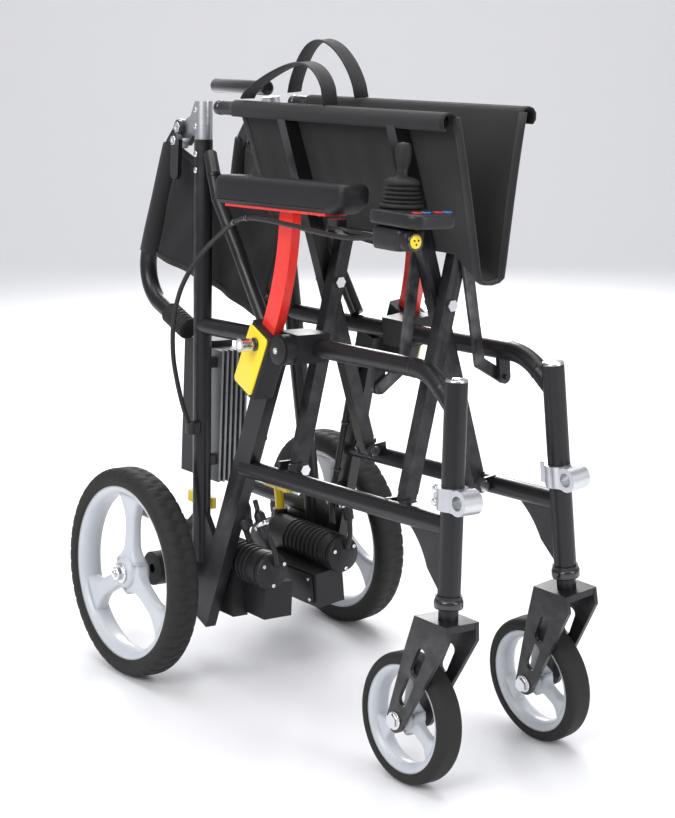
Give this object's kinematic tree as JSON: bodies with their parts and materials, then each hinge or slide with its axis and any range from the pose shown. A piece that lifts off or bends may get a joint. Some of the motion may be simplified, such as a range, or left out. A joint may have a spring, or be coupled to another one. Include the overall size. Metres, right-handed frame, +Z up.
{
  "type": "folding power wheelchair",
  "caption": "Folding electric wheelchair, folded narrow: two side frames on a scissor frame, spoked wheels, swivel casters, armrests and a hand joystick.",
  "frame": {"origin": "on the floor, at the middle of the chair's length and width when folded", "axes": "+X to the user's left, -Y to the front, +Z up"},
  "size_m": [0.382, 0.712, 0.8051],
  "materials": {
    "frame_black": "satin",
    "alloy": "cast",
    "steel": "bright",
    "cloth": "woven",
    "webbing": "woven",
    "grip": "ribbed",
    "gloss_black": "gloss",
    "red_paint": "gloss",
    "pad": "fine grain",
    "housing": "fine grain",
    "tyre": "matte",
    "rim": "satin",
    "drive": "satin",
    "yellow": "gloss",
    "case": "satin",
    "boot": "matte",
    "key_red": "gloss",
    "key_blue": "gloss",
    "lead": "satin"
  },
  "bodies": {
    "side_right": {"side_frame_right": "frame_black", "hinge_bracket_right": "alloy", "legrest_clamp_right": "alloy", "arm_socket_right": "housing", "drive_motor_right": "drive", "controller": "alloy", "wiring_right": "lead"},
    "cross_a": {"cross_frame_a": "frame_black", "cross_bolts_a": "steel", "carry_strap_left": "webbing"},
    "cross_b": {"cross_frame_b": "frame_black", "cross_bolts_b": "steel", "carry_strap_right": "webbing", "seat_sling": "cloth"},
    "side_left": {"side_frame_left": "frame_black", "hinge_bracket_left": "alloy", "legrest_clamp_left": "alloy", "arm_socket_left": "housing", "drive_motor_left": "drive", "wiring_left": "lead"},
    "link_right": {"link_right": "frame_black"},
    "link_left": {"link_left": "frame_black"},
    "cane_right": {"cane_right": "frame_black", "push_grip_right": "grip"},
    "cane_left": {"cane_left": "frame_black", "push_grip_left": "grip"},
    "panel_right": {"back_panel_right": "cloth"},
    "panel_left": {"back_panel_left": "cloth"},
    "latch_right": {"latch_lever_right": "gloss_black"},
    "latch_left": {"latch_lever_left": "gloss_black"},
    "arm_right": {"arm_tube_right": "red_paint", "arm_pad_right": "pad", "joystick_case": "case", "joystick_boot": "boot", "joystick_lead": "lead"},
    "arm_left": {"arm_tube_left": "red_paint", "arm_pad_left": "pad"},
    "plunger_right": {"plunger_right": "steel"},
    "plunger_left": {"plunger_left": "steel"},
    "wheel_right": {"rear_tyre_right": "tyre", "rear_rim_right": "rim"},
    "wheel_left": {"rear_tyre_left": "tyre", "rear_rim_left": "rim"},
    "freewheel_right": {"freewheel_lever_right": "yellow"},
    "freewheel_left": {"freewheel_lever_left": "yellow"},
    "fork_right": {"caster_fork_right": "frame_black", "caster_axle_right": "steel"},
    "fork_left": {"caster_fork_left": "frame_black", "caster_axle_left": "steel"},
    "caster_right": {"caster_tyre_right": "tyre", "caster_rim_right": "rim"},
    "caster_left": {"caster_tyre_left": "tyre", "caster_rim_left": "rim"},
    "gimbal": {"joystick_gimbal": "steel"},
    "stick": {"joystick_stick": "case"},
    "horn_key": {"horn_key": "key_red"},
    "power_key": {"power_key": "key_blue"},
    "slower_key": {"slower_key": "key_red"},
    "faster_key": {"faster_key": "key_blue"},
    "battery": {"battery_pack": "case"}
  },
  "joints": [
    {"name": "fold", "type": "hinge", "parent": "side_right", "child": "cross_a", "pos_m": [-0.06, -0.20703, 0.3035], "axis": [0, 1, 0], "range_deg": [0, 50.8], "deforming": ["carry_strap_left"]},
    {"name": "scissor", "type": "hinge", "parent": "cross_a", "child": "cross_b", "pos_m": [0, -0.20703, 0.52487], "axis": [0, 1, 0], "range_deg": [-101.61, 0], "deforming": ["seat_sling", "carry_strap_right"]},
    {"name": "left_frame", "type": "hinge", "parent": "cross_b", "child": "side_left", "pos_m": [0.06, -0.18903, 0.3035], "axis": [0, 1, 0], "range_deg": [0, 50.81]},
    {"name": "link_right", "type": "hinge", "parent": "side_right", "child": "link_right", "pos_m": [-0.072, -0.18903, 0.435], "axis": [0, 1, 0], "range_deg": [0, 74.56]},
    {"name": "link_left", "type": "hinge", "parent": "side_left", "child": "link_left", "pos_m": [0.072, -0.22503, 0.435], "axis": [0, 1, 0], "range_deg": [-74.56, 0]},
    {"name": "back_right", "type": "hinge", "parent": "side_right", "child": "cane_right", "pos_m": [-0.05325, 0.23697, 0.69632], "axis": [0.9976, 0, -0.0694], "range_deg": [0, 152]},
    {"name": "panel_right", "type": "hinge", "parent": "cane_right", "child": "panel_right", "pos_m": [-0.05292, 0.25054, 0.70114], "axis": [0.0654, -0.3355, 0.9398], "range_deg": [0, 73.95], "deforming": ["back_panel_right"]},
    {"name": "latch_right", "type": "hinge", "parent": "side_right", "child": "latch_right", "pos_m": [-0.06833, 0.22897, 0.68133], "axis": [0.9976, 0, -0.0694], "range_deg": [-35, 0]},
    {"name": "back_left", "type": "hinge", "parent": "side_left", "child": "cane_left", "pos_m": [0.05325, 0.23697, 0.69632], "axis": [0.9976, 0, 0.0694], "range_deg": [0, 152.01]},
    {"name": "panel_left", "type": "hinge", "parent": "cane_left", "child": "panel_left", "pos_m": [0.05292, 0.25054, 0.70114], "axis": [-0.0654, -0.3355, 0.9398], "range_deg": [-73.95, 0], "deforming": ["back_panel_left"]},
    {"name": "latch_left", "type": "hinge", "parent": "side_left", "child": "latch_left", "pos_m": [0.06833, 0.22897, 0.68133], "axis": [0.9976, 0, 0.0694], "range_deg": [-35, 0]},
    {"name": "armrest_right", "type": "slide", "parent": "side_right", "child": "arm_right", "axis": [0.0634, -0.4067, 0.9113], "range_m": [0, 0.06], "deforming": ["joystick_lead"]},
    {"name": "armrest_left", "type": "slide", "parent": "side_left", "child": "arm_left", "axis": [-0.0634, -0.4067, 0.9113], "range_m": [0, 0.06]},
    {"name": "plunger_right", "type": "slide", "parent": "side_right", "child": "plunger_right", "axis": [-0.9976, 0, 0.0694], "range_m": [0, 0.008], "stiffness_N_per_m": 400},
    {"name": "rear_wheel_right", "type": "hinge", "parent": "side_right", "child": "wheel_right", "pos_m": [-0.16245, 0.22097, 0.13533], "axis": [0.9976, 0, -0.0694], "continuous": true},
    {"name": "freewheel_right", "type": "hinge", "parent": "side_right", "child": "freewheel_right", "pos_m": [-0.06188, 0.20897, 0.19771], "axis": [0.0694, 0, 0.9976], "range_deg": [0, 60]},
    {"name": "swivel_right", "type": "hinge", "parent": "side_right", "child": "fork_right", "pos_m": [-0.0881, -0.32411, 0.19553], "axis": [0.0694, 0.0291, 0.9972], "continuous": true},
    {"name": "caster_right", "type": "hinge", "parent": "fork_right", "child": "caster_right", "pos_m": [-0.09646, -0.26963, 0.07533], "axis": [0.9976, 0, -0.0694], "continuous": true},
    {"name": "plunger_left", "type": "slide", "parent": "side_left", "child": "plunger_left", "axis": [0.9976, 0, 0.0694], "range_m": [0, 0.008], "stiffness_N_per_m": 400},
    {"name": "rear_wheel_left", "type": "hinge", "parent": "side_left", "child": "wheel_left", "pos_m": [0.16245, 0.22097, 0.13533], "axis": [0.9976, 0, 0.0694], "continuous": true},
    {"name": "freewheel_left", "type": "hinge", "parent": "side_left", "child": "freewheel_left", "pos_m": [0.06188, 0.20897, 0.19771], "axis": [-0.0694, 0, 0.9976], "range_deg": [-60, 0]},
    {"name": "swivel_left", "type": "hinge", "parent": "side_left", "child": "fork_left", "pos_m": [0.0881, -0.32411, 0.19553], "axis": [-0.0694, 0.0291, 0.9972], "continuous": true},
    {"name": "caster_left", "type": "hinge", "parent": "fork_left", "child": "caster_left", "pos_m": [0.09646, -0.26963, 0.07533], "axis": [0.9976, 0, 0.0694], "continuous": true},
    {"name": "stick_fore_aft", "type": "hinge", "parent": "arm_right", "child": "gimbal", "pos_m": [-0.09946, -0.26003, 0.63738], "axis": [0.9976, 0, -0.0694], "range_deg": [-18, 18], "stiffness_Nm_per_rad": 0.3},
    {"name": "stick_side", "type": "hinge", "parent": "gimbal", "child": "stick", "pos_m": [-0.09946, -0.26003, 0.63738], "axis": [0, 1, 0], "range_deg": [-18, 18], "stiffness_Nm_per_rad": 0.3, "deforming": ["joystick_boot"]},
    {"name": "horn_key", "type": "slide", "parent": "arm_right", "child": "horn_key", "axis": [-0.0694, 0, -0.9976], "range_m": [0, 0.001], "stiffness_N_per_m": 300},
    {"name": "power_key", "type": "slide", "parent": "arm_right", "child": "power_key", "axis": [-0.0694, 0, -0.9976], "range_m": [0, 0.001], "stiffness_N_per_m": 300},
    {"name": "slower_key", "type": "slide", "parent": "arm_right", "child": "slower_key", "axis": [-0.0694, 0, -0.9976], "range_m": [0, 0.001], "stiffness_N_per_m": 300},
    {"name": "faster_key", "type": "slide", "parent": "arm_right", "child": "faster_key", "axis": [-0.0694, 0, -0.9976], "range_m": [0, 0.001], "stiffness_N_per_m": 300},
    {"name": "battery_lift", "type": "slide", "parent": "side_right", "child": "battery", "axis": [0.0694, 0, 0.9976], "range_m": [0, 0.04]}
  ],
  "couplings": [
    {"joint": "scissor", "follows": "fold", "ratio": -2},
    {"joint": "left_frame", "follows": "fold", "ratio": 1},
    {"joint": "link_right", "follows": "fold", "ratio": 1.4667},
    {"joint": "link_left", "follows": "fold", "ratio": -1.4667},
    {"joint": "panel_right", "follows": "fold", "ratio": 1.4547},
    {"joint": "panel_left", "follows": "fold", "ratio": -1.4547},
    {"joint": "back_left", "follows": "back_right", "ratio": 1}
  ]
}
